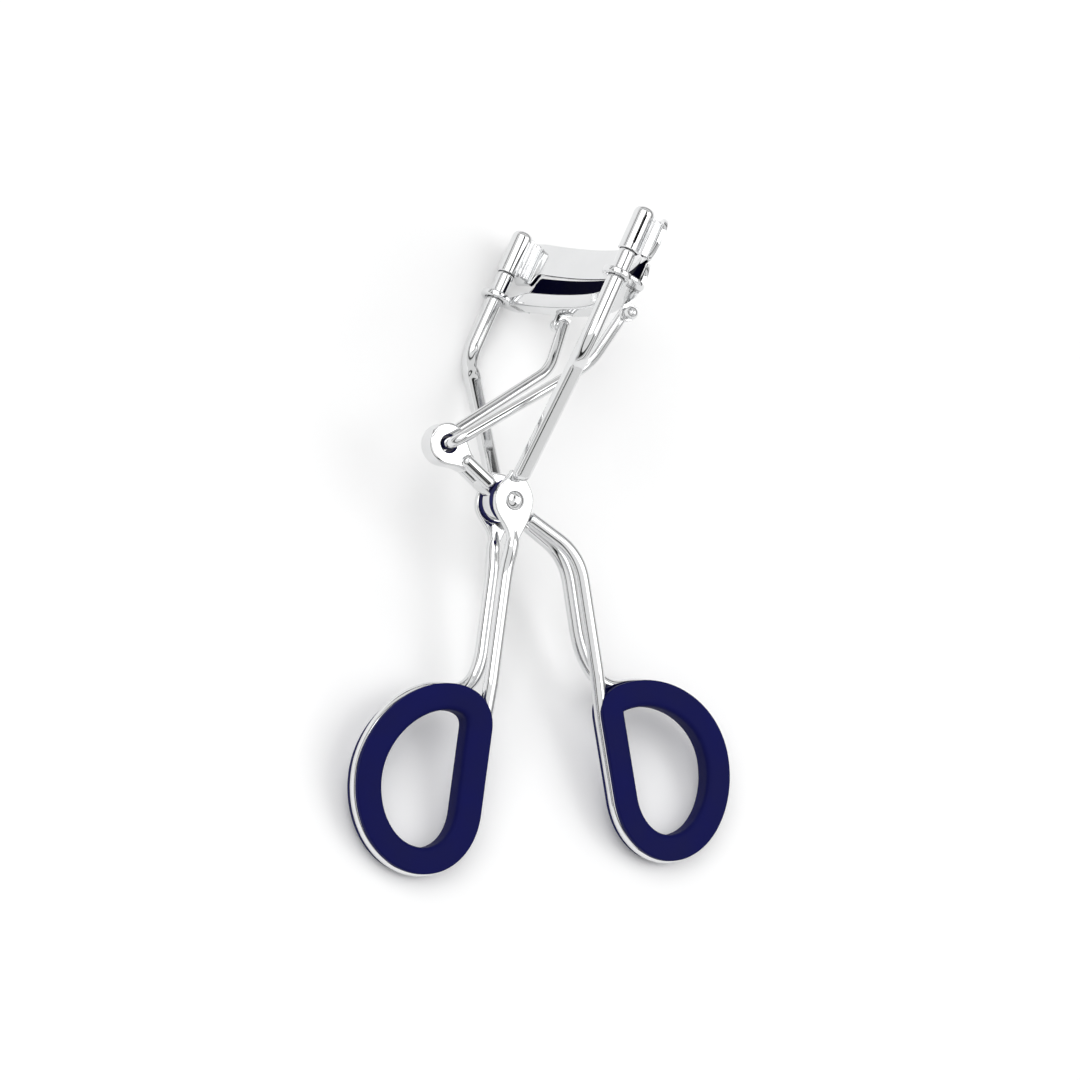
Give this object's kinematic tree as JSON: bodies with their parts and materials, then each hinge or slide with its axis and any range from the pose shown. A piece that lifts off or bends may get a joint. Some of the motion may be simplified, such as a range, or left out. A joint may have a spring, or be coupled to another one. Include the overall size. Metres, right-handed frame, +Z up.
{
  "type": "eyelash curler",
  "caption": "Scissor-handled eyelash curler: bent-wire cage, bowed fixed jaw, sliding padded jaw worked by a yoke, and finger rings lined with soft grips.",
  "frame": {"origin": "centre of the footprint, on the table that the tool lies on, on its far side", "axes": "+Z up from the table, close to the pivot axis; +Y along the tool, from the finger rings to the jaws; +X to the side that the jaws bow towards"},
  "size_m": [0.0582, 0.0912, 0.0411],
  "materials": {
    "chrome_plate": "polished",
    "navy_silicone": "smooth satin",
    "navy_nylon": "satin",
    "dark_rubber": "smooth satin"
  },
  "bodies": {
    "frame": {"frame_wire": "chrome_plate", "frame_grip": "navy_silicone", "upper_jaw": "chrome_plate", "near_post_sleeve": "chrome_plate", "far_post_sleeve": "chrome_plate", "pivot_rivet": "chrome_plate", "near_spacer": "navy_nylon", "far_spacer": "navy_nylon"},
    "lever": {"lever_wire": "chrome_plate", "lever_grip": "navy_silicone", "lever_end_cap": "chrome_plate", "hook_bushing": "navy_nylon"},
    "lower_jaw": {"lower_jaw": "chrome_plate", "lash_pad": "dark_rubber"},
    "yoke": {"yoke_wire": "chrome_plate"}
  },
  "joints": [
    {"name": "lever_pivot", "type": "hinge", "parent": "frame", "child": "lever", "pos_m": [-0.00328, 0.0039, 0.01293], "axis": [-0.0047, -0.2363, 0.9717], "range_deg": [0, 28]},
    {"name": "jaw_slide", "type": "slide", "parent": "frame", "child": "lower_jaw", "axis": [-0.5, -0.8409, -0.207], "range_m": [0, 0.0056]},
    {"name": "yoke_swing", "type": "hinge", "parent": "lower_jaw", "child": "yoke", "pos_m": [0.01231, 0.02779, 0.01881], "axis": [-0.0047, -0.2363, 0.9717], "range_deg": [0, 0.5]}
  ],
  "couplings": [
    {"joint": "jaw_slide", "follows": "lever_pivot", "m_per_rad": 0.011405},
    {"joint": "yoke_swing", "follows": "lever_pivot", "ratio": 0.0136}
  ]
}
